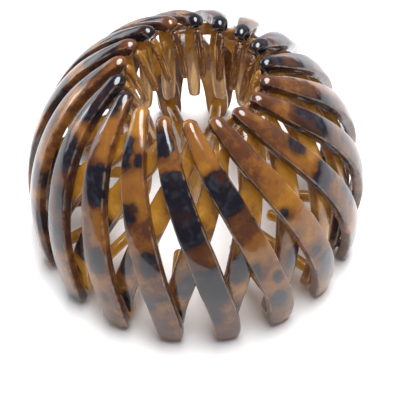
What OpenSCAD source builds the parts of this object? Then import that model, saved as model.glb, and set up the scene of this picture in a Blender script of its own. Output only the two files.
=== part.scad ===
// Expandable ponytail holder: a ring of curved slats in two crossing layers.
// Millimetres, +Z up, standing on the feet of the outer slats, with the axis of the ring on Z.

/* [Overall size] */
// Outside diameter at the widest ring
ring_d = 80; // [72:1:84]
// Height of the widest ring above the feet
ring_z = 13.5; // [12.5:0.5:14.5]
// Rise of the dome above the widest ring
dome_h = 42; // [41:0.5:43]
// Number of slats in each layer
slat_count = 18; // [16:1:18]
// Turn of the first foot from +X, in degrees
first_foot = -80.1; // [-90:0.1:-70]

/* [Slats] */
// Thickness of an outer slat
outer_t = 2.8; // [2.4:0.1:3]
// Thickness of an inner slat
inner_t = 2.6; // [2.2:0.1:2.8]
// Clear gap between the two layers
layer_gap = 0.5; // [0.4:0.05:0.8]
// Part of the width that the bevelled edge takes on each side
edge_part = 0.2; // [0.15:0.01:0.25]
// Crown of the outward face, as a part of the thickness
crown_part = 0.12; // [0:0.01:0.15]

/* [Pivots] */
// Diameter of a pivot pin
pin_d = 2; // [1.8:0.1:2.2]
// Depth of a blind pin socket
socket_depth = 1.6; // [1.4:0.1:1.7]
// Running gap around and beyond a pin
pin_gap = 0.12; // [0.1:0.01:0.2]

/* [Foot tooth] */
// Diameter of the short tooth near the foot of an inner slat
foot_tooth_d = 2.8; // [2.4:0.1:3]
// Distance of its rounded end from the axis
foot_tooth_reach = 19.5; // [18:0.5:22]
// Height of its root on the slat
foot_tooth_root_z = 6; // [5.5:0.5:7]
// Turn of its end around the axis, in degrees
foot_tooth_turn = -3; // [-5:0.5:0]
// Height of its rounded end
foot_tooth_end_z = 9.5; // [8:0.5:11]

/* [Hidden] */
// Stretch of a slat that lies on the dome, from the foot to the rim.
// polar: angle down from the top of the dome. swing: turn around Z since the lowest pivot.
// width and thick: the section there, thick as a part of the layer's thickness.
OUTER_RUN = [
    // polar, swing, width, thick
    [109.3, -0.4, 2.4, 0.5],
    [108.2, -0.2, 4.6, 0.8],
    [104,    0.0, 6.2, 1],
    [ 99,    0.5, 6.4, 1],
    [ 90,    2.1, 6.4, 1],
    [ 80,    5.1, 6.5, 1],
    [ 70,    8.1, 6.5, 1],
    [ 60,   12.1, 6.3, 1],
    [ 51,   16.1, 5.9, 1],
    [ 43,   20.6, 5.4, 1],
    [ 36,   24.4, 4.8, 1],
    [ 30.5, 28.2, 4.3, 1],
    [ 27.5, 31.0, 3.9, 1.05],
    [ 26,   33.1, 3.6, 1.15],
];
INNER_RUN = [
    // polar, swing, width, thick
    [109.3, -0.4, 2.2, 0.5],
    [108.2, -0.2, 3.9, 0.8],
    [104,    0.0, 5.4, 1],
    [ 99,    0.5, 5.7, 1],
    [ 90,    2.1, 5.8, 1],
    [ 80,    5.1, 5.9, 1],
    [ 70,    8.1, 5.9, 1],
    [ 60,   12.1, 5.7, 1],
    [ 51,   16.1, 5.3, 1],
    [ 43,   20.6, 4.9, 1],
    [ 37,   24.6, 4.4, 1],
    [ 33,   28.2, 3.8, 1.05],
];

// Comb tooth beyond the rim: reach from Z, height, swing, width and thickness.
OUTER_TOOTH = [
    // reach, height, swing, width, thick
    [15.3, 48.9, 35.0, 3.0, 2.8],
    [14.3, 46.4, 36.4, 2.4, 2.3],
    [13.3, 43.2, 38.2, 2.2, 2.2],
    [12.4, 40.0, 40.0, 2.1, 2.1],
    [11.7, 37.4, 41.3, 1.8, 1.8],
    [11.5, 36.8, 41.7, 0.9, 0.9],
];
INNER_TOOTH = [
    // reach, height, swing, width, thick
    [17.6, 46.3, 29.6, 3.4, 2.6],
    [16.8, 44.4, 30.2, 3.3, 2.0],
    [16.7, 39.0, 30.2, 3.4, 1.6],
    [17.3, 31.0, 29.6, 3.3, 1.6],
    [17.8, 25.8, 29.2, 3.0, 1.5],
    [17.9, 24.6, 29.1, 1.8, 1.0],
];

// Where a slat crosses the other layer and is pinned to it, as rows of the two run tables.
PIVOT_POLAR = [104, 65.25, 44.1];
PIVOT_SWING = [0, 10, 20];

pitch = 360 / slat_count;
outer_mid_a = ring_d / 2 - outer_t / 2;
outer_mid_b = dome_h - outer_t / 2;
inner_mid_a = outer_mid_a - (outer_t + inner_t) / 2 - layer_gap;
inner_mid_b = outer_mid_b - (outer_t + inner_t) / 2 - layer_gap;
amber = "#9a5f24";
honey = "#b07a32";

function pad(i) = i < 10 ? str("0", i) : str(i);

function unit(v) = v / norm(v);
function around(reach, turn, height) = [reach * cos(turn), reach * sin(turn), height];

// A point of a layer's middle surface, where a and b are the half axes of its dome.
function on_dome(a, b, polar, turn) = around(a * sin(polar), turn, ring_z + b * cos(polar));

// Outward normal of the dome at that point.
function dome_normal(a, b, polar, turn) = unit(around(sin(polar) / a, turn, cos(polar) / b));

// Rows of [centre, turn around Z, width, thickness] along a whole slat. lean is -1 or 1.
function slat_rows(a, b, thickness, run, tooth, lean) = concat(
    [for (row = run) [on_dome(a, b, row[0], lean * row[1]), lean * row[1], row[2], row[3] * thickness]],
    [for (row = tooth) [around(row[0], lean * row[2], row[1]), lean * row[2], row[3], row[4]]]
);

// Nine-sided section with bevelled edges and a crowned outward face, as [across, outward].
function section(w, t) = let (e = w * edge_part, c = t * crown_part, b = t * 0.3) [
    [-w / 2, -t / 2 + b], [-w / 2 + e, -t / 2], [w / 2 - e, -t / 2], [w / 2, -t / 2 + b],
    [w / 2, t / 2 - b - c], [w / 2 - e, t / 2 - c], [0, t / 2], [-w / 2 + e, t / 2 - c], [-w / 2, t / 2 - b - c]
];

// Direction of the centreline at row i.
function heading(rows, i) = unit(rows[min(i + 1, len(rows) - 1)][0] - rows[max(i - 1, 0)][0]);

function ring_of_points(rows, i) = let (
    along = heading(rows, i),
    east = around(1, rows[i][1] + 90, 0),
    across = unit(east - (east * along) * along),
    outward = cross(across, along)
) [for (p = section(rows[i][2], rows[i][3])) rows[i][0] + p[0] * across + p[1] * outward];

// One closed skin along the rows.
module sweep(rows) {
    sides = len(section(1, 1));
    last = len(rows) - 1;
    points = [for (i = [0:last]) each ring_of_points(rows, i)];
    walls = [for (i = [0:last - 1], k = [0:sides - 1]) let (
        p = i * sides + k,
        q = i * sides + (k + 1) % sides
    ) each [[p, q, q + sides], [p, q + sides, p + sides]]];
    ends = [[for (k = [sides - 1:-1:0]) k], [for (k = [0:sides - 1]) last * sides + k]];
    polyhedron(points = points, faces = concat(walls, ends));
}

// Places its children on a layer's middle surface, with +Z along the outward normal.
module at_dome(a, b, polar, turn) {
    normal = dome_normal(a, b, polar, turn);
    translate(on_dome(a, b, polar, turn))
        rotate([0, acos(normal[2]), turn])
            children();
}

// Pins stand on the inner layer and reach into the sockets of the outer one.
module pins() {
    pin_h = inner_t / 2 + layer_gap + socket_depth - pin_gap;
    for (k = [0:len(PIVOT_POLAR) - 1])
        at_dome(inner_mid_a, inner_mid_b, PIVOT_POLAR[k], PIVOT_SWING[k])
            cylinder(h = pin_h, d = pin_d, $fn = 32);
}

module sockets() {
    for (k = [0:len(PIVOT_POLAR) - 1])
        at_dome(inner_mid_a, inner_mid_b, PIVOT_POLAR[k], -PIVOT_SWING[k])
            translate([0, 0, inner_t / 2])
                cylinder(h = layer_gap + socket_depth, r = pin_d / 2 + pin_gap, $fn = 32);
}

module foot_tooth() {
    root = around(inner_mid_a * sin(101), 0.4, foot_tooth_root_z);
    tip = around(foot_tooth_reach, foot_tooth_turn, foot_tooth_end_z);
    run = tip - root;
    translate(root)
        rotate([0, acos(run[2] / norm(run)), atan2(run[1], run[0])]) {
            cylinder(h = norm(run), d = foot_tooth_d, $fn = 32);
            translate([0, 0, norm(run)])
                sphere(d = foot_tooth_d, $fn = 32);
        }
}

// Everything below the table top, which leaves a small flat under each foot.
module below_floor() {
    translate([-ring_d, -ring_d, -ring_d])
        cube([2 * ring_d, 2 * ring_d, ring_d]);
}

module outer_slat(i) {
    color(amber)
        rotate([0, 0, first_foot + (i - 1) * pitch])
            difference() {
                sweep(slat_rows(outer_mid_a, outer_mid_b, outer_t, OUTER_RUN, OUTER_TOOTH, -1));
                sockets();
                below_floor();
            }
}

module inner_slat(i) {
    color(honey)
        rotate([0, 0, first_foot + (i - 1) * pitch]) {
            sweep(slat_rows(inner_mid_a, inner_mid_b, inner_t, INNER_RUN, INNER_TOOTH, 1));
            pins();
            foot_tooth();
        }
}

for (i = [1:slat_count]) {
    outer_slat(i);
    inner_slat(i);
}
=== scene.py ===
import math
import random

import bpy
import numpy as np
from mathutils import Matrix, Quaternion, Vector


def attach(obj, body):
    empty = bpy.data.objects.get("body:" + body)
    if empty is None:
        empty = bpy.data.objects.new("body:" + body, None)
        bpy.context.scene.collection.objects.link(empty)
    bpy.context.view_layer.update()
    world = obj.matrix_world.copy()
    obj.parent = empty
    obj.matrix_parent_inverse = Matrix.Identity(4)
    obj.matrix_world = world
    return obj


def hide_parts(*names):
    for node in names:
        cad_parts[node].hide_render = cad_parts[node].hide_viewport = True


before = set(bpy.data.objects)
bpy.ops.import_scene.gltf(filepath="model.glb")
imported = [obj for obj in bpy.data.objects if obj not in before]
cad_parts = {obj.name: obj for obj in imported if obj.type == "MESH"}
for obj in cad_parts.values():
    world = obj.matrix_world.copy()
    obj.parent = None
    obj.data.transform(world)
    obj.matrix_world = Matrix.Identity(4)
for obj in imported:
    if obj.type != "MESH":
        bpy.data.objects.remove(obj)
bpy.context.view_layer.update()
print("frame loaded:", len(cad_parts), "slats")

mm = 0.001

holder = {
    "ringRadius": 40.0,      # mm, outside of the widest ring
    "ringHeight": 13.5,      # widest ring above the table
    "domeRise": 42.0,        # top of the dome above the widest ring
    "slats": 18,             # in each layer
    "firstFoot": -80.1,      # degrees from +X
    "outerThick": 2.8,
    "innerThick": 2.6,
    "layerGap": 0.5,
    "pinRadius": 1.0,
    "pinGap": 0.12,
    "socketDepth": 1.6,
    "pivotPolar": (104, 65.25, 44.1),
    "pivotSwing": (0, 10, 20),
}
holder["outerMid"] = (holder["ringRadius"] - holder["outerThick"] / 2,
                      holder["domeRise"] - holder["outerThick"] / 2)
layerStep = (holder["outerThick"] + holder["innerThick"]) / 2 + holder["layerGap"]
holder["innerMid"] = tuple(half - layerStep for half in holder["outerMid"])

# Rows of a slat: run rows are polar, swing, width, thick (a part of the layer's thickness),
# tooth rows are reach from the axis, height, swing, width, thick.
outerSlat = {
    "lean": -1,
    "thick": holder["outerThick"],
    "mid": holder["outerMid"],
    "run": [
        (109.0, -0.4, 1.9, 0.50),
        (108.6, -0.3, 3.4, 0.72),
        (107.7, -0.2, 4.5, 0.88),
        (106.4, -0.1, 5.4, 0.97),
        (104.6, 0.0, 6.0, 1.0),
        (102.2, 0.2, 6.3, 1.0),
        (99.0, 0.5, 6.4, 1.0),
        (90.0, 2.1, 6.4, 1.0),
        (80.0, 5.1, 6.5, 1.0),
        (70.0, 8.1, 6.5, 1.0),
        (60.0, 12.1, 6.3, 1.0),
        (51.0, 16.1, 6.0, 1.0),
        (43.0, 20.6, 5.6, 1.0),
        (37.0, 23.8, 5.2, 1.0),
        (33.0, 26.4, 4.6, 1.0),
        (30.5, 28.2, 4.1, 1.04),
        (28.5, 30.0, 3.8, 1.1),
        (27.0, 31.6, 3.75, 1.16),
    ],
    "nub": [
        (16.7, 49.9, 32.8, 3.7, 3.25),
        (15.9, 49.8, 33.6, 3.4, 3.0),
        (15.4, 49.5, 34.2, 2.3, 2.1),
    ],
    "tooth": [
        (15.7, 49.0, 34.4, 2.3, 2.3),
        (14.4, 46.4, 36.2, 2.3, 2.3),
        (13.3, 43.2, 38.2, 2.2, 2.2),
        (12.4, 40.0, 40.0, 2.1, 2.1),
        (11.75, 37.6, 41.2, 1.9, 1.9),
        (11.6, 37.0, 41.5, 1.4, 1.4),
    ],
    "step": 3.6,             # mm between the rings of the cage
}
innerSlat = {
    "lean": 1,
    "thick": holder["innerThick"],
    "mid": holder["innerMid"],
    "run": [
        (109.0, -0.4, 1.7, 0.50),
        (108.6, -0.3, 3.0, 0.72),
        (107.7, -0.2, 4.0, 0.88),
        (106.4, -0.1, 4.8, 0.97),
        (104.6, 0.0, 5.3, 1.0),
        (102.2, 0.2, 5.6, 1.0),
        (99.0, 0.5, 5.7, 1.0),
        (90.0, 2.1, 5.8, 1.0),
        (80.0, 5.1, 5.9, 1.0),
        (70.0, 8.1, 5.9, 1.0),
        (60.0, 12.1, 5.7, 1.0),
        (51.0, 16.1, 5.3, 1.0),
        (43.0, 20.6, 4.9, 1.0),
        (37.0, 24.6, 4.4, 1.0),
        (33.0, 28.2, 3.8, 1.05),
    ],
    "tooth": [
        (17.7, 46.4, 29.7, 3.5, 2.6),
        (16.8, 44.4, 30.2, 3.3, 2.0),
        (16.7, 39.0, 30.2, 3.4, 1.6),
        (17.3, 31.0, 29.6, 3.3, 1.6),
        (17.8, 25.8, 29.2, 3.0, 1.5),
        (17.9, 24.8, 29.1, 1.9, 1.1),
    ],
    "step": 3.6,
    "footTooth": {"radius": 1.4, "rootShare": 0.98, "rootTurn": 0.4, "rootHeight": 6.0,
                  "reach": 19.5, "turn": -3.0, "height": 9.5},
}


def deselect():
    if bpy.context.mode != "OBJECT":
        bpy.ops.object.mode_set(mode="OBJECT")
    bpy.ops.object.select_all(action="DESELECT")


def only(piece):
    deselect()
    piece.select_set(True)
    bpy.context.view_layer.objects.active = piece


def around(reach, turn, height):
    angle = math.radians(turn)
    return Vector((reach * math.cos(angle), reach * math.sin(angle), height))


def onDome(mid, polar, turn):
    angle = math.radians(polar)
    return around(mid[0] * math.sin(angle), turn, holder["ringHeight"] + mid[1] * math.cos(angle))


def domeNormal(mid, polar, turn):
    angle = math.radians(polar)
    return around(math.sin(angle) / mid[0], turn, math.cos(angle) / mid[1]).normalized()


# Rows of one part of a slat as centre, turn, width and thickness in mm.
def slatRows(slat, part):
    rows = []
    if part == "run":
        for polar, swing, width, thick in slat["run"]:
            turn = slat["lean"] * swing
            rows.append((onDome(slat["mid"], polar, turn), turn, width, thick * slat["thick"]))
        return rows
    for reach, height, swing, width, thick in slat[part]:
        turn = slat["lean"] * swing
        rows.append((around(reach, turn, height), turn, width, thick))
    return rows


# The same rows on a smooth line through them, about every step mm.
def denseRows(rows, step):
    points = [row[0] for row in rows]
    last = len(rows) - 1
    dense = []
    for i in range(last):
        span = (points[i + 1] - points[i]).length
        parts = max(1, round(span / step))
        before = points[max(i - 1, 0)]
        after = points[min(i + 2, last)]
        leave = (points[i + 1] - before) * (span / max((points[i + 1] - before).length, 1e-6))
        arrive = (after - points[i]) * (span / max((after - points[i]).length, 1e-6))
        for k in range(parts):
            t = k / parts
            place = ((2 * t ** 3 - 3 * t ** 2 + 1) * points[i] + (t ** 3 - 2 * t ** 2 + t) * leave
                     + (3 * t ** 2 - 2 * t ** 3) * points[i + 1] + (t ** 3 - t ** 2) * arrive)
            blend = [rows[i][j] * (1 - t) + rows[i + 1][j] * t for j in (1, 2, 3)]
            dense.append((place, *blend))
    dense.append(rows[last])
    return dense


# Across, outward and along directions at each row.
def slatAxes(rows):
    axes = []
    for i, row in enumerate(rows):
        along = (rows[min(i + 1, len(rows) - 1)][0] - rows[max(i - 1, 0)][0]).normalized()
        east = around(1, row[1] + 90, 0)
        across = (east - east.dot(along) * along).normalized()
        axes.append((across, across.cross(along), along))
    return axes


def selectVertices(piece, wanted):
    if bpy.context.mode != "OBJECT":
        bpy.ops.object.mode_set(mode="OBJECT")
    for polygon in piece.data.polygons:
        polygon.select = False
    for edge in piece.data.edges:
        edge.select = False
    for vertex in piece.data.vertices:
        vertex.select = bool(wanted(vertex))
    bpy.ops.object.mode_set(mode="EDIT")
    bpy.ops.mesh.select_mode(type="VERT")


profile = {
    "width": 6.4,
    "thick": 2.8,
    "corner": 0.62,          # mm of the corner that is rounded off
    "crown": 0.50,           # mm that the middle of the outward face stands above its edges
    "arch": 0.24,            # mm that its shoulders drop further at the rim
    "archFrom": 42.0,        # mm above the table where they start to drop
    "archBlend": 6.0,
    "roundSides": 8,         # of the round section that the comb teeth have
    # Beyond the first number, a part of the width from the middle, the face drops by the second of the crown.
    "crownSteps": ((-1, -0.3), (0.1, 0.17), (0.3, 0.48)),
    # It drops by the first number of the arch beyond the second, a part of the half width.
    "archSteps": ((0.2, 0.2), (0.8, 0.6)),
}


# A bevelled slab section at the origin, across on X and outward on Y, or a round one of the same size.
def addProfile(name, shape):
    deselect()
    if shape == "round":
        bpy.ops.mesh.primitive_circle_add(vertices=profile["roundSides"], radius=0.5, location=(0, 0, 0))
    else:
        bpy.ops.mesh.primitive_plane_add(size=1, location=(0, 0, 0))
    piece = bpy.context.active_object
    piece.name = name
    bpy.ops.object.mode_set(mode="EDIT")
    bpy.ops.transform.resize(value=(profile["width"] * mm, profile["thick"] * mm, 1),
                             center_override=(0, 0, 0))
    if shape == "slab":
        bpy.ops.mesh.bevel(offset=profile["corner"] * mm, offset_type="OFFSET", segments=2,
                           affect="VERTICES")
        bpy.ops.mesh.delete(type="ONLY_FACE")
        flat = 0.499 * profile["thick"] * mm
        selectVertices(piece, lambda vertex: abs(vertex.co.y) > flat)
        bpy.ops.mesh.subdivide(number_cuts=3)
        for inside, share in profile["crownSteps"]:
            selectVertices(piece, lambda vertex: abs(vertex.co.x) > inside * profile["width"] * mm
                           and vertex.co.y > 0)
            bpy.ops.transform.translate(value=(0, -share * profile["crown"] * mm, 0))
    bpy.ops.object.mode_set(mode="OBJECT")
    return piece


# Lowers the outward side of the newest ring beyond inside mm from its middle, so that the slat grows round
# towards its rim end.
def dropShoulders(piece, count, drop, inside):
    bpy.ops.object.mode_set(mode="OBJECT")
    first = len(piece.data.vertices) - count
    selectVertices(piece, lambda vertex: vertex.index >= first and vertex.co.y > 0
                   and abs(vertex.co.x) > inside * mm)
    bpy.ops.transform.translate(value=(0, -drop * mm, 0))
    bpy.ops.object.mode_set(mode="OBJECT")


# Sweeps the profile along the rows by duplicating, turning and bridging its ring.
def sweepSlat(name, rows, shape):
    piece = addProfile(name, shape)
    count = len(piece.data.vertices)
    axes = slatAxes(rows)
    for (centre, _, width, thick), (across, outward, _) in zip(rows, axes):
        selectVertices(piece, lambda vertex: vertex.index < count)
        bpy.ops.mesh.duplicate()
        bpy.ops.transform.resize(value=(width / profile["width"], thick / profile["thick"], 1),
                                 center_override=(0, 0, 0))
        arch = profile["arch"] * min(1, max(0, (centre.z - profile["archFrom"]) / profile["archBlend"]))
        if arch > 0 and shape == "slab":
            for share, inside in profile["archSteps"]:
                dropShoulders(piece, count, share * arch, inside * width / 2)
            selectVertices(piece, lambda vertex: vertex.index >= len(piece.data.vertices) - count)
        turned = Matrix((across, outward, across.cross(outward))).transposed().to_euler("XYZ")
        for axis, angle in zip("XYZ", turned):
            bpy.ops.transform.rotate(value=-angle, orient_axis=axis, center_override=(0, 0, 0))
        bpy.ops.transform.translate(value=centre * mm)
    for k in range(1, len(rows)):
        selectVertices(piece, lambda vertex: k * count <= vertex.index < (k + 2) * count)
        bpy.ops.mesh.bridge_edge_loops()
    for k in (1, len(rows)):
        selectVertices(piece, lambda vertex: k * count <= vertex.index < (k + 1) * count)
        bpy.ops.mesh.edge_face_add()
    selectVertices(piece, lambda vertex: vertex.index < count)
    bpy.ops.mesh.delete(type="VERT")
    bpy.ops.mesh.select_all(action="SELECT")
    bpy.ops.mesh.normals_make_consistent(inside=False)
    bpy.ops.object.mode_set(mode="OBJECT")
    subdivide = piece.modifiers.new("smooth", "SUBSURF")
    subdivide.levels = subdivide.render_levels = 2
    only(piece)
    bpy.ops.object.modifier_apply(modifier="smooth")
    return piece


# A round rod between two points in mm, with its far end rounded where that is asked for.
def addRod(name, root, tip, radius, rounded):
    deselect()
    direction = tip - root
    bpy.ops.mesh.primitive_cylinder_add(vertices=20, radius=radius * mm, depth=direction.length * mm,
                                        location=(root + tip) / 2 * mm,
                                        rotation=direction.to_track_quat("Z", "Y").to_euler())
    rod = bpy.context.active_object
    rod.name = name
    bpy.ops.object.transform_apply(location=True, rotation=True, scale=True)
    if rounded:
        far = tip * mm
        selectVertices(rod, lambda vertex: (vertex.co - far).length < 1.01 * radius * mm)
        bpy.ops.mesh.bevel(offset=0.85 * radius * mm, segments=4, affect="EDGES")
        bpy.ops.object.mode_set(mode="OBJECT")
    return rod


def combine(piece, tool, how):
    only(piece)
    cut = piece.modifiers.new("combine", "BOOLEAN")
    cut.operation = how
    cut.solver = "EXACT"
    cut.object = tool
    bpy.ops.object.modifier_apply(modifier="combine")
    bpy.data.objects.remove(tool)


def pivotRods(name, lean, start, length, radius):
    rods = []
    for polar, swing in zip(holder["pivotPolar"], holder["pivotSwing"]):
        centre = onDome(holder["innerMid"], polar, lean * swing)
        normal = domeNormal(holder["innerMid"], polar, lean * swing)
        end = start + length
        rods.append(addRod(name, centre + normal * start, centre + normal * end, radius, False))
    return rods


outerRows = denseRows(slatRows(outerSlat, "run") + slatRows(outerSlat, "nub"), outerSlat["step"])
outerTooth = denseRows(slatRows(outerSlat, "tooth"), outerSlat["step"])
innerRows = denseRows(slatRows(innerSlat, "run") + slatRows(innerSlat, "tooth"), innerSlat["step"])

outerMaster = sweepSlat("outerMaster", outerRows, "slab")
combine(outerMaster, sweepSlat("outerTooth", outerTooth, "round"), "UNION")
for socket in pivotRods("socket", -1, holder["innerThick"] / 2, holder["layerGap"] + holder["socketDepth"],
                        holder["pinRadius"] + holder["pinGap"]):
    combine(outerMaster, socket, "DIFFERENCE")
print("outer slat modelled:", len(outerMaster.data.polygons), "faces")

innerMaster = sweepSlat("innerMaster", innerRows, "slab")
pinLength = holder["innerThick"] / 2 + holder["layerGap"] + holder["socketDepth"] - holder["pinGap"]
for pin in pivotRods("pin", 1, 0, pinLength, holder["pinRadius"]):
    combine(innerMaster, pin, "UNION")
foot = innerSlat["footTooth"]
footRoot = around(holder["innerMid"][0] * foot["rootShare"], foot["rootTurn"], foot["rootHeight"])
footTip = around(foot["reach"] - foot["radius"], foot["turn"], foot["height"])
combine(innerMaster, addRod("footTooth", footRoot, footTip, foot["radius"], True), "UNION")
print("inner slat modelled:", len(innerMaster.data.polygons), "faces")


traceStep = 0.8     # mm between the points of the middle line that places on a slat are measured from


# Where each vertex lies in mm: along, across and outward on the slat, for the pattern to follow, and in space.
def placeOnSlat(piece, rows):
    fine = denseRows(rows, traceStep)
    axes = slatAxes(fine)
    centres = np.array([row[0] for row in fine])
    across = np.array([axis[0] for axis in axes])
    outward = np.array([axis[1] for axis in axes])
    travelled = np.concatenate([[0], np.cumsum(np.linalg.norm(np.diff(centres, axis=0), axis=1))])
    spots = np.zeros(len(piece.data.vertices) * 3)
    piece.data.vertices.foreach_get("co", spots)
    spots = spots.reshape(-1, 3) / mm
    nearest = ((spots[:, None, :] - centres[None]) ** 2).sum(2).argmin(1)
    offset = spots - centres[nearest]
    ahead = np.array([axis[2] for axis in axes])[nearest]
    return np.stack([travelled[nearest] + (offset * ahead).sum(1), (offset * across[nearest]).sum(1),
                     (offset * outward[nearest]).sum(1)], 1), spots


outerLine = denseRows(slatRows(outerSlat, "run") + slatRows(outerSlat, "tooth"), outerSlat["step"])
masters = {
    "outer": {"piece": outerMaster, "line": outerLine},
    "inner": {"piece": innerMaster, "line": innerRows},
}
for master in masters.values():
    master["places"], master["spots"] = placeOnSlat(master["piece"], master["line"])


class Value:
    def __init__(self, board, socket):
        self.board = board
        self.socket = socket

    def maths(self, operation, other=None, swap=False):
        pair = [self, other] if not swap else [other, self]
        return self.board.add("ShaderNodeMath", {"operation": operation},
                              {i: value for i, value in enumerate(pair) if value is not None})

    def __add__(self, other):
        return self.maths("ADD", other)

    def __radd__(self, other):
        return self.maths("ADD", other)

    def __sub__(self, other):
        return self.maths("SUBTRACT", other)

    def __rsub__(self, other):
        return self.maths("SUBTRACT", other, swap=True)

    def __mul__(self, other):
        return self.maths("MULTIPLY", other)

    def __rmul__(self, other):
        return self.maths("MULTIPLY", other)


class Board:
    def __init__(self, name):
        self.material = bpy.data.materials.new(name)
        self.material.use_nodes = True
        self.tree = self.material.node_tree
        self.tree.nodes.clear()

    def add(self, kind, settings, inputs, output=0):
        node = self.tree.nodes.new(kind)
        for key, value in settings.items():
            setattr(node, key, value)
        for key, value in inputs.items():
            self.feed(node.inputs[key], value)
        return Value(self, node.outputs[output]) if node.outputs else None

    def feed(self, socket, value):
        if isinstance(value, Value):
            self.tree.links.new(value.socket, socket)
        elif socket.type == "RGBA" and len(value) == 3:
            socket.default_value = (*value, 1)
        else:
            socket.default_value = value

    def attribute(self, name, output=2):
        return self.add("ShaderNodeAttribute", {"attribute_name": name}, {}, output=output)

    def mix(self, factor, first, second):
        return self.add("ShaderNodeMix", {"data_type": "RGBA"}, {0: factor, 6: first, 7: second}, output=2)

    def noise(self, place, scale, detail, roughness):
        return self.add("ShaderNodeTexNoise", {}, {"Vector": place, "Scale": scale, "Detail": detail,
                                                   "Roughness": roughness})

    def step(self, value, low, high):
        return self.add("ShaderNodeMapRange", {"interpolation_type": "SMOOTHSTEP"},
                        {0: value, 1: low, 2: high, 3: 0.0, 4: 1.0})


tortoiseshell = {
    "outer": {
        "bright": (0.38, 0.168, 0.022),
        "amber": (0.25, 0.098, 0.020),
        "brown": (0.100, 0.036, 0.017),
        "deep": (0.045, 0.017, 0.011),
        "halo": (0.055, 0.016, 0.008),
        "black": (0.009, 0.008, 0.014),
        # painted reflection: a bluish sheen in the black blotches
        "paintedSheen": (0.034, 0.034, 0.046),
        # painted highlight: the pale line along each edge of the outward face
        "edge": (0.50, 0.33, 0.20),
        "paintedEdgeHighlightShare": 0.42,
        # painted highlight: broken dashes of light along the comb teeth
        "dash": (0.80, 0.60, 0.38),
        "paintedDashShare": 0.65,
        "roughness": 0.13,
        "transmission": 0.25,
        "clear": (0.86, 0.60, 0.28),
        "clearShare": 0.7,
        # painted light: emission strength of the plastic's own colour, standing in for light that passes
        # through it
        "paintedGlow": 0.08,
    },
    "inner": {
        "bright": (0.45, 0.232, 0.040),
        "amber": (0.31, 0.140, 0.018),
        "brown": (0.13, 0.052, 0.018),
        "deep": (0.075, 0.028, 0.011),
        "halo": (0.07, 0.022, 0.009),
        "black": (0.012, 0.008, 0.012),
        # painted reflection: a bluish sheen in the black blotches
        "paintedSheen": (0.034, 0.034, 0.046),
        # painted highlight: the pale line along each edge of the outward face
        "edge": (0.50, 0.33, 0.20),
        "paintedEdgeHighlightShare": 0.3,
        # painted highlight: broken dashes of light along the comb teeth
        "dash": (0.80, 0.60, 0.38),
        "paintedDashShare": 0.4,
        "roughness": 0.12,
        "transmission": 0.30,
        "clear": (0.66, 0.44, 0.18),
        "clearShare": 0.4,
        # painted light: emission strength of the plastic's own colour, standing in for light that passes
        # through it
        "paintedGlow": 0.30,
    },
}


grain = {
    "cloud": (0.20, 3.0, 0.55),      # scale per mm, detail and roughness of each noise
    "ragged": (0.50, 1.5, 0.5),
    "fine": (1.8, 1.0, 0.5),
    "wavy": (0.30, 1.0, 0.5),
    "borderMoves": (2.8, 1.8, 0.5),  # mm that ragged, cloud and fine move the border of a blotch
    "toneMoves": (3.6, 0.7, 0.6),    # tone that cloud, ragged and fine add
    "cloudMiddle": 0.53,             # cloud value that leaves the tone as it is
    "core": (-0.6, 0.5),             # mm inside the border where a blotch turns black
    "halo": (-2.0, 0.3),             # and where the plastic around it darkens
    "haloShare": 0.75,
    "smoke": (0.50, 0.80),           # cloud values over which black turns to the halo colour
    "paintedSheen": (0.48, 0.72),           # ragged values over which the black turns to a painted bluish sheen
    "paintedSheenShare": 0.8,
    "paintedEdgeHighlightBreaks": (0.35, 0.65),      # ragged values over which the painted highlight line along an edge comes in
    "dashBreaks": (0.44, 0.56),      # fine values over which a painted highlight dash comes in
}


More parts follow.
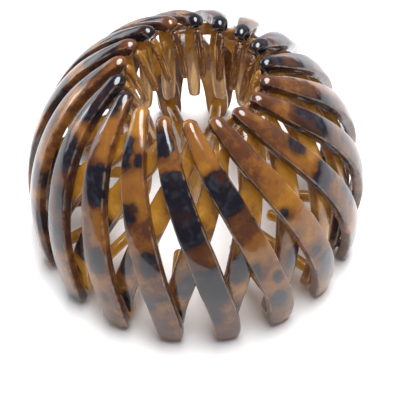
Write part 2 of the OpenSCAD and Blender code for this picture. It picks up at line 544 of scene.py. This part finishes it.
# Cloudy amber that follows the tone attribute, with blotches inside the zero line of the blotch attribute,
# plus painted highlight lines and dashes, a painted bluish sheen in the blotches and a painted glow.
def makeTortoiseshell(name, look):
    board = Board(name)
    place = board.attribute("slatPlace", output=1)
    cloud = board.noise(place, *grain["cloud"])
    ragged = board.noise(place, *grain["ragged"])
    fine = board.noise(place, *grain["fine"])
    byRagged, byCloud, byFine = grain["borderMoves"]
    border = (board.attribute("blotch") + (ragged - 0.5) * byRagged + (cloud - 0.5) * byCloud
              + (fine - 0.5) * byFine)
    core = board.step(border, *grain["core"])
    halo = board.step(border, *grain["halo"])
    byCloud, byRagged, byFine = grain["toneMoves"]
    tone = (board.attribute("tone") + (cloud - grain["cloudMiddle"]) * byCloud + (ragged - 0.5) * byRagged
            + (fine - 0.5) * byFine)
    body = board.mix(board.step(tone, -2.0, -1.0), look["deep"], look["brown"])
    body = board.mix(board.step(tone, -1.0, 0.0), body, look["amber"])
    body = board.mix(board.step(tone, 0.0, 1.0), body, look["bright"])
    shaded = board.mix(halo * grain["haloShare"], body, look["halo"])
    smoky = board.mix(board.step(cloud, *grain["smoke"]), look["black"], look["halo"])
    # painted reflection: bluish sheen streaks inside the black
    smoky = board.mix(board.step(ragged, *grain["paintedSheen"]) * grain["paintedSheenShare"], smoky, look["paintedSheen"])
    colour = board.mix(core, shaded, smoky)
    # painted highlight: a pale line along each edge, broken by the ragged noise
    paintedEdgeHighlight = board.attribute("edge") * board.step(ragged, *grain["paintedEdgeHighlightBreaks"])
    colour = board.mix(paintedEdgeHighlight * look["paintedEdgeHighlightShare"], colour, look["edge"])
    # painted highlight: broken dashes of light along the comb teeth
    dash = board.attribute("dash") * board.step(fine, *grain["dashBreaks"])
    colour = board.mix(dash * look["paintedDashShare"], colour, look["dash"])
    wavy = board.noise(place, *grain["wavy"])
    bump = board.add("ShaderNodeBump", {}, {"Height": wavy, "Strength": 0.3, "Distance": 0.0004})
    shader = board.add("ShaderNodeBsdfPrincipled", {}, {
        "Base Color": colour, "Roughness": look["roughness"], "IOR": 1.58,
        "Transmission Weight": look["transmission"],
        # painted light: the plastic glows in its own colour, standing in for light that passes through it
        "Emission Color": colour, "Emission Strength": look["paintedGlow"], "Normal": bump,
    })
    glassy = board.add("ShaderNodeBsdfPrincipled", {}, {
        "Base Color": look["clear"], "Roughness": 0.08, "IOR": 1.5, "Transmission Weight": 1.0,
    })
    clear = board.attribute("clear") * look["clearShare"]
    mixed = board.add("ShaderNodeMixShader", {}, {0: clear, 1: shader, 2: glassy})
    board.add("ShaderNodeOutputMaterial", {}, {"Surface": mixed})
    return board.material


materials = {layer: makeTortoiseshell(layer + "Tortoiseshell", look) for layer, look in tortoiseshell.items()}
print("materials made")

# Marks seen in the photo, by layer and slat, in mm from the foot up.
# dark: along, across, half length and half width of a blotch.
# tone: along, half length and tone, where 1 is bright amber, -1 brown and -2 deep brown. With two more
# values, across and half width, only that side of the slat takes the tone.
marks = {
    "outer": {
        18: {
            "dark": [(51.6, -1.4, 3.4, 1.3), (50.2, 1.6, 1.6, 0.9), (38.8, -1.4, 2.0, 1.6),
                     (27, 0.9, 2.9, 2.2), (17.7, 0, 0.7, 3.2), (16, -2.4, 1.6, 1.0)],
            "tone": [(58, 4, 0.3), (45, 4, 0.3), (34, 4, -0.5), (22, 4, -0.2), (8, 8, -0.9)],
        },
        1: {
            "dark": [(56.2, -0.9, 3.0, 2.4), (41.6, 0, 8.4, 3.6), (21.8, 0, 5.6, 3.6),
                     (13, -2.2, 3.0, 1.3)],
            "tone": [(51.5, 2, 0.1), (62, 3, -0.4), (30.5, 4, -1.0), (8, 9, -1.0)],
        },
        2: {
            "dark": [(44.8, 0.2, 5.2, 3.4), (24.5, -2.4, 2.0, 0.9), (20.3, 1.5, 1.0, 0.8),
                     (13, -0.5, 2.8, 2.0)],
            "tone": [(55, 5, 0.2), (52, 5, 0.5, -1.4, 1.4), (62, 2, -0.3), (36.5, 4, -1.0), (26, 6, 0.1),
                     (6, 6, -0.4)],
        },
        3: {
            "dark": [(36, -2.2, 0.9, 0.8), (22, -0.5, 1.5, 1.4), (15.5, 0.2, 4.0, 1.7)],
            "tone": [(58, 8, -0.8), (49, 4, -0.5), (39, 4.5, 0.9), (27, 6, 0.2), (12, 6, -0.6)],
        },
        4: {
            "dark": [(47, 1.5, 2.3, 1.3), (36.7, 0, 2.6, 3.6), (25.5, 2, 3.5, 1.3)],
            "tone": [(62, 4, -1.0), (54, 5, -0.5), (43, 4.5, 0.3), (33, 4, -0.5), (24, 6, -0.3)],
        },
        5: {
            "dark": [(49.5, 0.9, 2.8, 1.2), (44.0, 0.3, 3.0, 2.2), (35, 0.8, 1.6, 1.2), (23, 0, 2.2, 2.6)],
            "tone": [(62, 5, -0.9), (47, 6, -2.2), (32, 8, -0.8)],
        },
        6: {
            "dark": [(44.0, -2.0, 4.4, 1.3), (34, 1.2, 1.6, 1.2), (24, 0.5, 3.0, 2.0)],
            "tone": [(61, 7, -1.0), (50, 6, -0.6), (33, 8, -0.8)],
        },
        7: {
            "dark": [(61, 0, 4.0, 2.8), (47, 0.6, 6.0, 2.6), (30, 0, 3.0, 2.4)],
            "tone": [(55, 9, -0.9), (36, 10, -1.1)],
        },
        8: {"dark": [(61, 0, 2.8, 2.8), (50, -0.6, 6.0, 1.8)], "tone": [(55, 9, -0.8), (38, 8, -0.8)]},
        9: {
            "dark": [(61, 0, 2.6, 2.6), (47, 0, 4.0, 2.4), (33, 0.8, 3.2, 2.6), (2, -1, 1.6, 2.0)],
            "tone": [(56, 8, -0.6), (20, 7, -0.8), (8, 6, -0.2)],
        },
        10: {
            "dark": [(61, 0, 2.8, 2.6), (48, 0, 4.0, 2.4), (34, -0.6, 3.4, 2.8), (2, 1, 1.4, 2.2)],
            "tone": [(56, 8, -0.6), (17, 7, -0.9), (6, 5, 0.1)],
        },
        11: {"dark": [(61.5, 0, 1.8, 2.6), (50, 0, 2.6, 1.8)], "tone": [(56, 7, -0.6)]},
        12: {"dark": [(56, 0, 3.0, 2.0), (40, 0, 5.0, 3.4)], "tone": [(58, 7, -0.7)]},
        13: {"dark": [(57.5, 0, 7.5, 3.4), (41, 0, 4.0, 3.2), (27, 0, 5.0, 3.2)], "tone": [(48, 4, -0.7)]},
        14: {
            "dark": [(54, 0, 4.6, 2.6), (39, 0, 5.0, 3.4), (24, 0, 4.4, 3.4), (10, 0, 3.0, 3.4),
                     (30, -2.6, 18, 1.0)],
            "tone": [(61, 4, -0.8), (46, 4, -0.1)],
        },
        15: {
            "dark": [(54, -0.6, 3.2, 1.7), (40, -1.5, 3.4, 1.8), (27.5, 0, 2.4, 3.4), (16, 0, 4.0, 3.4),
                     (31, -2.6, 20, 1.2)],
            "tone": [(61, 5, -0.8), (46, 4, 0.0), (34, 4, 0.1), (6, 5, -0.5)],
        },
        16: {
            "dark": [(57.5, 0, 8.2, 3.6), (41.5, 0, 3.8, 3.4), (31, 1.4, 3.0, 1.6), (22, 1.2, 3.4, 1.8),
                     (3, 0, 2.2, 3.4), (29, -2.4, 18, 1.3)],
            "tone": [(46, 2, 0.2), (33, 6, -0.9), (15, 5, 0.1), (27, 16, -0.6, 1.8, 1.4)],
        },
        17: {
            "dark": [(60.5, -0.8, 4.0, 1.6), (41, 0.9, 4.6, 3.2), (23.5, 0.5, 3.3, 1.9), (13, 0, 1.2, 1.2)],
            "tone": [(63, 4, -0.6), (53, 7, -1.2, -1.9, 1.5), (51, 6, 0.5, 1.3, 1.6),
                     (32, 8, -1.0, -1.9, 1.5), (32, 4, 0.2), (8, 6, -0.5)],
        },
    },
    "inner": {
        1: {
            "dark": [(21.5, -0.3, 3.6, 2.1), (9, 1.6, 1.4, 0.9)],
            "tone": [(10, 6, -0.8), (22, 6, -0.9), (33, 5, 0.2)],
        },
        2: {
            "dark": [(19, 1.0, 2.6, 1.3), (4, -1.5, 2.0, 1.0)],
            "tone": [(14, 7, -0.9), (24, 5, -0.6), (34, 5, 0.2)],
        },
        3: {"dark": [(8, 1.2, 1.2, 0.8)], "tone": [(12, 6, 0.1), (30, 5, 0.2)]},
        9: {"dark": [(31, 0.6, 2.2, 1.4)], "tone": [(20, 6, -0.8), (8, 6, 0.1)]},
        10: {"dark": [(31, -0.4, 2.4, 1.4)], "tone": [(11, 5, -1.6), (21, 5, 0.2)]},
        17: {"dark": [(21, -1.3, 3.0, 1.3), (9, 1.5, 4.0, 1.1)], "tone": [(5, 4, 0.3), (16, 6, -0.9)]},
        18: {"dark": [(18.5, 1.0, 3.2, 1.8), (5.5, 1.2, 4.4, 1.4)], "tone": [(6, 7, -1.3), (20, 7, -1.0)]},
    },
}
# Slats without random marks below the listed ones: those in front, and those seen through the throat.
footSeen = (17, 18, 1, 2, 3, 9, 10)
clearFrom = {"outer": (64.0, 69.0), "inner": (38.0, 52.0)}   # mm along, over which the plastic turns clear
toothTone = {"outer": 0.5, "inner": 0.2}
darkTooth = {"outer": {8: -0.7, 9: -1.0, 10: -1.0, 11: -1.2, 12: -1.0}, "inner": {}}     # at the back
sideShade = {"from": 0.72, "blend": 0.28, "tone": 0.6}       # parts of the half width, and the tone lost
blotchShape = {
    "corner": 0.8,           # radius of a corner, as a part of the smaller half size
    "far": -6.0,             # mm, the field where no blotch is near
    "tooth": -3.0,           # the field on the teeth, which have none
}
# Painted highlight lines on a slat, along its edges and as dashes along the comb teeth: how far from its
# middle they lie and how wide they are, as parts of its half width, the mm outward above which they show, and
# the mm along from which the dashes of the teeth run.
paintedHighlightLine = {
    "edge": {"share": 0.92, "half": 0.045, "above": 0.1},
    "dash": {"share": 0.62, "half": 0.16, "above": -0.4, "from": 50},
}
teeth = {
    "innerFrom": 62,         # mm along an inner slat, where its comb tooth starts
    "footTooth": -2.2,       # mm outward, below which its foot tooth starts
    "outerFrom": 61,         # mm along an outer slat
    "height": 48.3,          # mm above the table, below which its comb tooth lies
    "rootHeight": 49.2,      # the same for the root of the tooth, within rootReach of the axis
    "rootReach": 15.3,
}
loose = {
    "spacing": 11.5,         # mm between the random blotches of a slat that the photo does not show
    "gap": (0.6, 1.4),       # times the spacing from one to the next
    "first": -3,             # mm along, the lowest place of the first one
    "across": 2.2,           # mm off the middle line at most
    "half": (2.0, 6.0),
    "wide": (1.4, 3.6),
    "tone": (-0.5, 0.6),
    "end": {"outer": 62, "inner": 30.0},     # mm along, beyond which there are none
    "margin": 9,             # mm that they keep below the lowest listed blotch
    "seedStep": 7,
    "seedFrom": {"outer": 0, "inner": 400},
    "noiseShift": (31.0, 17.0),      # mm along and across that the noise moves for each unit of the seed
}


def bell(values, middle, half):
    return np.exp(-(((values - middle) / half) ** 2))


# Distance in mm inside the nearest blotch, each a box with rounded corners.
def blotchField(places, spots):
    field = np.full(len(places), blotchShape["far"])
    for along, across, halfLength, halfWidth in spots:
        corner = blotchShape["corner"] * min(halfLength, halfWidth)
        beyond = np.abs(places[:, :2] - (along, across)) - (halfLength - corner, halfWidth - corner)
        outside = np.linalg.norm(np.maximum(beyond, 0), axis=1)
        field = np.maximum(field, corner - outside - np.minimum(beyond.max(1), 0))
    return field


def toneField(places, spots):
    field = np.zeros(len(places))
    for along, halfLength, tone, *side in spots:
        near = bell(places[:, 0], along, halfLength)
        if side:
            near = near * bell(places[:, 1], *side)
        field += tone * near
    return field


# The comb tooth of an outer slat hangs below its nub, and an inner slat has a tooth near its foot too.
def inTooth(layer, places, spots):
    if layer == "inner":
        return (places[:, 0] > teeth["innerFrom"]) | (places[:, 2] < teeth["footTooth"])
    height = spots[:, 2]
    reach = np.hypot(spots[:, 0], spots[:, 1])
    root = (height < teeth["rootHeight"]) & (reach < teeth["rootReach"])
    return (places[:, 0] > teeth["outerFrom"]) & ((height < teeth["height"]) | root)


# Distance from the middle line of the slat, as a part of its half width.
def shareAcross(places, rows):
    fine = denseRows(rows, traceStep)
    travelled = np.concatenate([[0], np.cumsum([(b[0] - a[0]).length for a, b in zip(fine, fine[1:])])])
    half = np.interp(places[:, 0], travelled, [row[2] / 2 for row in fine])
    return np.abs(places[:, 1]) / half


def looseMarks(seed, length):
    draw = random.Random(seed)
    dark = []
    tone = []
    spacing = loose["spacing"]
    along = draw.uniform(loose["first"], spacing)
    while along < length:
        dark.append((along, draw.uniform(-loose["across"], loose["across"]), draw.uniform(*loose["half"]),
                     draw.uniform(*loose["wide"])))
        tone.append((along + spacing / 2, spacing / 2, draw.uniform(*loose["tone"])))
        along += spacing * draw.uniform(*loose["gap"])
    return {"dark": dark, "tone": tone}


# The listed marks of a slat, with random ones where the photo does not show it.
def marksOf(layer, number, seed):
    seen = looseMarks(seed, loose["end"][layer])
    if number not in marks[layer]:
        return seen
    shown = marks[layer][number]
    lowest = 0 if number in footSeen else min(spot[0] for spot in shown["dark"])
    below = [spot for spot in seen["dark"] if spot[0] < lowest - loose["margin"]]
    return {"dark": shown["dark"] + below, "tone": shown["tone"]}


def writeValues(slat, name, values):
    slat.data.attributes.new(name, "FLOAT", "POINT").data.foreach_set("value", values.astype(np.float32))


# Writes the attributes that the tortoiseshell follows.
def writePattern(slat, layer, number):
    master = masters[layer]
    places = master["places"]
    seed = number * loose["seedStep"] + loose["seedFrom"][layer]
    shift = np.array([seed * loose["noiseShift"][0], seed * loose["noiseShift"][1], 0])
    slat.data.attributes.new("slatPlace", "FLOAT_VECTOR", "POINT").data.foreach_set(
        "vector", (places + shift).astype(np.float32).ravel())
    seen = marksOf(layer, number, seed)
    tooth = inTooth(layer, places, master["spots"])
    blotch = blotchField(places, seen["dark"])
    blotch[tooth] = blotchShape["tooth"]
    writeValues(slat, "blotch", blotch)
    low, high = clearFrom[layer]
    writeValues(slat, "clear", np.clip((places[:, 0] - low) / (high - low), 0, 1))
    share = shareAcross(places, master["line"])
    tone = toneField(places, seen["tone"])
    tone -= sideShade["tone"] * np.clip((share - sideShade["from"]) / sideShade["blend"], 0, 1)
    tone[tooth] = darkTooth[layer].get(number, toothTone[layer])
    writeValues(slat, "tone", tone)
    # painted highlight: a pale line near each edge of the outward face, none on the teeth
    line = paintedHighlightLine["edge"]
    edge = bell(share, line["share"], line["half"]) * (places[:, 2] > line["above"])
    edge[tooth] = 0
    writeValues(slat, "edge", edge)
    # painted highlight: dashes of light along the comb teeth
    line = paintedHighlightLine["dash"]
    writeValues(slat, "dash", bell(share, line["share"], line["half"]) * (places[:, 2] > line["above"])
                * tooth * (places[:, 0] > line["from"]))


def placeSlat(layer, number):
    name = f"{layer}_slat_{number:02d}"
    only(masters[layer]["piece"])
    bpy.ops.object.duplicate(linked=False)
    slat = bpy.context.active_object
    slat.name = name + "_shell"
    slat.data.name = slat.name
    slat.rotation_euler.z = math.radians(holder["firstFoot"] + (number - 1) * 360 / holder["slats"])
    bpy.ops.object.transform_apply(location=True, rotation=True, scale=True)
    writePattern(slat, layer, number)
    slat.data.materials.clear()
    slat.data.materials.append(materials[layer])
    bpy.ops.object.shade_smooth_by_angle(angle=math.radians(38))
    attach(slat, "root")
    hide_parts(name)


for number in range(1, holder["slats"] + 1):
    placeSlat("outer", number)
    placeSlat("inner", number)
for master in masters.values():
    bpy.data.objects.remove(master["piece"])
print("slats placed:", 2 * holder["slats"])

studio = {
    "floorFront": -0.155,        # m, where the paper ends in front, which ends its reflection on the slats
    "floorBack": 0.5,
    "floorSide": 0.8,
    "floorRoughness": 0.6,
    "floorColour": (0.86, 0.855, 0.87),
    "floorGlow": (1.0, 0.97, 0.965),
    "glowStrength": 0.05,
    "farPaintedShade": (0.28, 0.28, 0.31),
    "farTurn": (0.045, 0.16),    # m behind the axis over which painted shade darkens the paper, standing in for the dark room that the back slats reflect
    "sideTurn": (0.03, 0.11),    # m to the sides over which it grows light again
    "skyColour": (0.93, 0.96, 1.0),
    "skyStrength": 0.14,
}


def makeFloor():
    deselect()
    bpy.ops.mesh.primitive_plane_add(size=1, location=(0, 0, 0))
    floor = bpy.context.active_object
    floor.name = "studioFloor"
    bpy.ops.object.mode_set(mode="EDIT")
    bpy.ops.transform.resize(value=(2 * studio["floorSide"], studio["floorBack"] - studio["floorFront"], 1),
                             center_override=(0, 0, 0))
    bpy.ops.transform.translate(value=(0, (studio["floorBack"] + studio["floorFront"]) / 2, 0))
    bpy.ops.object.mode_set(mode="OBJECT")
    board = Board("studioPaper")
    place = board.add("ShaderNodeTexCoord", {}, {}, output=3)
    across = board.add("ShaderNodeSeparateXYZ", {}, {0: place})
    depth = board.add("ShaderNodeSeparateXYZ", {}, {0: place}, output=1)
    # painted shade on the paper behind the object, which grows light again to the sides
    beside = board.step(across.maths("ABSOLUTE"), *studio["sideTurn"])
    back = board.step(depth, *studio["farTurn"]) * (1.0 - beside)
    shader = board.add("ShaderNodeBsdfPrincipled", {}, {
        "Base Color": board.mix(back, studio["floorColour"], studio["farPaintedShade"]),
        "Roughness": studio["floorRoughness"],
        "Emission Color": studio["floorGlow"], "Emission Strength": studio["glowStrength"],
    })
    board.add("ShaderNodeOutputMaterial", {}, {"Surface": shader})
    floor.data.materials.append(board.material)


makeFloor()

# Place, aim and size in m, power in W. The overhead lamp makes the highlights on the nubs, and the shoulder
# lamp the streaks on the slats at the left.
lamps = {
    "overhead": {"place": (0.07, 0.11, 0.78), "aim": (0.07, 0.11, 0),
                 "shape": "ELLIPSE", "size": (0.50, 0.90), "power": 15.2},
    "shoulder": {"place": (-0.83, 0.38, 0.29), "aim": (0, 0, 0.03),
                 "shape": "ELLIPSE", "size": (0.16, 0.20), "power": 0.55},
    "backdrop": {"place": (0.1, 1.1, 0.42), "aim": (0, 0, 0.05),
                 "shape": "RECTANGLE", "size": (1.8, 0.8), "power": 1.6},
    "left": {"place": (-0.85, 0.6, 0.28), "aim": (0, 0, 0.03),
             "shape": "RECTANGLE", "size": (0.9, 0.5), "power": 3.7},
    "right": {"place": (0.95, 0.35, 0.40), "aim": (0, 0, 0.03),
              "shape": "RECTANGLE", "size": (0.8, 0.7), "power": 0.4},
}
for name, lamp in lamps.items():
    light = bpy.data.lights.new(name, "AREA")
    light.shape = lamp["shape"]
    light.size, light.size_y = lamp["size"]
    light.energy = lamp["power"]
    stand = bpy.data.objects.new(name, light)
    bpy.context.scene.collection.objects.link(stand)
    stand.location = lamp["place"]
    stand.rotation_euler = (Vector(lamp["aim"]) - Vector(lamp["place"])).to_track_quat("-Z", "Y").to_euler()

world = bpy.data.worlds.new("studio")
world.use_nodes = True
sky = world.node_tree.nodes["Background"]
sky.inputs["Color"].default_value = (*studio["skyColour"], 1)
sky.inputs["Strength"].default_value = studio["skyStrength"]
bpy.context.scene.world = world
bpy.context.scene.view_settings.view_transform = "Standard"

# The photo's camera: aim and distance in m, angles in degrees, lens in mm.
camera = {"aim": (0.0009, -0.0048, 0.01231), "distance": 0.42, "down": 48.85, "roll": -1.5, "lens": 159.3}
lens = bpy.data.cameras.new("photoCamera")
lens.lens = camera["lens"]
lens.clip_start = 0.01
tripod = bpy.data.objects.new("photoCamera", lens)
bpy.context.scene.collection.objects.link(tripod)
down = math.radians(camera["down"])
sight = Vector((0, math.cos(down), -math.sin(down)))
tripod.location = Vector(camera["aim"]) - sight * camera["distance"]
tripod.rotation_euler = (sight.to_track_quat("-Z", "Y")
                         @ Quaternion((0, 0, 1), math.radians(camera["roll"]))).to_euler()
bpy.context.scene.camera = tripod
print("studio ready")
